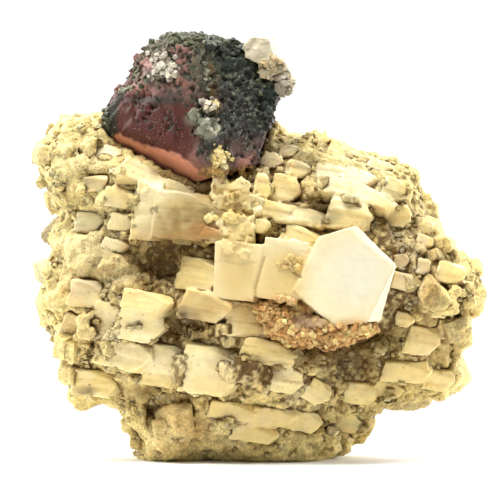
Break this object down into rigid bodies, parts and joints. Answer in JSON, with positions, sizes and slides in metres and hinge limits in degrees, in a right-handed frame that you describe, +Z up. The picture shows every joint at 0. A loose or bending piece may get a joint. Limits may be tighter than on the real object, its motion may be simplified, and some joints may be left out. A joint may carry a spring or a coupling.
{
  "type": "pink fluorite on feldspar matrix",
  "caption": "Pink octahedral fluorite crystal with a dark green skin, standing on a rough block of cream feldspar crystals.",
  "frame": {"origin": "middle of the bounding box's bottom, in the plane of the flat foot", "axes": "+X to the right across the show side, +Z up, -Y out of the show side towards the viewer"},
  "size_m": [0.0891, 0.0523, 0.0863],
  "materials": {
    "feldspar_matrix": "rough cream feldspar with brown recesses",
    "pink_fluorite": "satin pink to plum crystal with a dark green skin",
    "white_feldspar_plates": "satin white crystal faces",
    "rusty_crust": "dull iron-stained crust",
    "perched_quartz": "pale translucent quartz"
  },
  "bodies": {
    "root": {"feldspar_matrix": "feldspar_matrix", "pink_fluorite": "pink_fluorite", "white_feldspar_plates": "white_feldspar_plates", "rusty_crust": "rusty_crust", "perched_quartz": "perched_quartz"}
  },
  "joints": []
}
